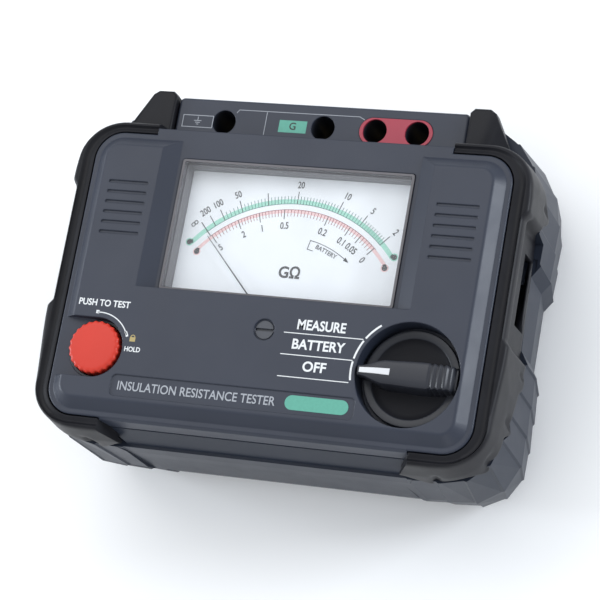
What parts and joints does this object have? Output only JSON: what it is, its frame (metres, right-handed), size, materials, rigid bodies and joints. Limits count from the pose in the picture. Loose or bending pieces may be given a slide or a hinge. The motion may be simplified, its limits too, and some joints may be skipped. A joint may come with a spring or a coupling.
{
  "type": "insulation resistance tester",
  "caption": "Analogue high-voltage insulation tester lying on its back: needle meter, rotary range switch, press-and-turn test button, recessed terminals, rubber guards and battery door.",
  "frame": {"origin": "centre of the footprint, on the plane under the four feet", "axes": "+X across the panel to the right, +Y up the panel towards the terminals, +Z out of the panel"},
  "size_m": [0.226, 0.177, 0.1],
  "materials": {
    "panel_plastic": "fine texture",
    "case_plastic": "fine texture",
    "guard_rubber": "soft satin",
    "foot_rubber": "matt",
    "frame_plastic": "satin",
    "lens_clear": "polished",
    "scale_white": "matt",
    "black_plastic": "satin",
    "needle_black": "black lacquer",
    "button_red": "satin",
    "plate_red": "satin",
    "marker_white": "satin",
    "adjuster_grey": "satin",
    "brass_plated": "bright",
    "steel": "zinc plated",
    "magnet_iron": "machined",
    "coil_copper": "enamelled wire",
    "board_green": "solder mask",
    "potting_dark": "potting resin",
    "cell_jacket": "printed jacket"
  },
  "bodies": {
    "case": {"battery_1": "cell_jacket", "battery_2": "cell_jacket", "battery_3": "cell_jacket", "battery_4": "cell_jacket", "battery_5": "cell_jacket", "battery_6": "cell_jacket", "battery_7": "cell_jacket", "battery_8": "cell_jacket", "battery_contacts": "brass_plated", "battery_springs": "steel", "board_screws": "steel", "button_guide": "black_plastic", "button_spring": "steel", "capacitors": "potting_dark", "case_screws": "steel", "earth_contact": "brass_plated", "earth_socket": "black_plastic", "foot_left_high": "foot_rubber", "foot_left_low": "foot_rubber", "foot_right_high": "foot_rubber", "foot_right_low": "foot_rubber", "front_cover": "panel_plastic", "guard_contact": "brass_plated", "guard_left": "guard_rubber", "guard_right": "guard_rubber", "guard_socket": "black_plastic", "inverter_transformer": "potting_dark", "line_contact": "brass_plated", "line_plate": "plate_red", "line_socket": "black_plastic", "main_board": "board_green", "meter_base": "black_plastic", "meter_lens": "lens_clear", "movement_bridge": "steel", "movement_core": "magnet_iron", "movement_magnet": "magnet_iron", "rear_case": "case_plastic", "rotary_switch": "black_plastic", "scale_plate": "scale_white", "spare_contact": "brass_plated", "spare_socket": "black_plastic", "strap_pin_left": "steel", "strap_pin_right": "steel", "switch_nut": "steel", "terminal_deck": "panel_plastic", "test_switch": "black_plastic", "voltage_multiplier": "potting_dark", "window_frame": "frame_plastic"},
    "knob": {"range_knob": "black_plastic", "knob_marker": "marker_white", "switch_shaft": "steel"},
    "plunger": {"button_plunger": "black_plastic"},
    "button": {"test_button": "button_red"},
    "needle": {"meter_needle": "needle_black", "moving_coil": "coil_copper"},
    "zero_screw": {"zero_adjuster": "adjuster_grey"},
    "battery_door": {"battery_cover": "case_plastic", "battery_cover_screw": "steel"}
  },
  "joints": [
    {"name": "range_turn", "type": "hinge", "parent": "case", "child": "knob", "pos_m": [0.0707, -0.045, 0.09], "axis": [0, 0, 1], "range_deg": [-45, 0]},
    {"name": "button_press", "type": "slide", "parent": "case", "child": "plunger", "axis": [0, 0, -1], "range_m": [0, 0.0035], "stiffness_N_per_m": 900, "springref_m": -0.004, "deforming": ["button_spring"]},
    {"name": "button_lock_turn", "type": "hinge", "parent": "plunger", "child": "button", "pos_m": [-0.082, -0.0462, 0.095], "axis": [0, 0, 1], "range_deg": [-70, 0]},
    {"name": "needle_swing", "type": "hinge", "parent": "case", "child": "needle", "pos_m": [0, -0.0285, 0.0858], "axis": [0, 0, 1], "range_deg": [-87, 0], "stiffness_Nm_per_rad": 0.0001},
    {"name": "zero_adjust", "type": "hinge", "parent": "case", "child": "zero_screw", "pos_m": [0, -0.0305, 0.095], "axis": [0, 0, 1], "range_deg": [-90, 90]},
    {"name": "battery_door_lift", "type": "slide", "parent": "case", "child": "battery_door", "axis": [0, 0, -1], "range_m": [0, 0.03]}
  ]
}
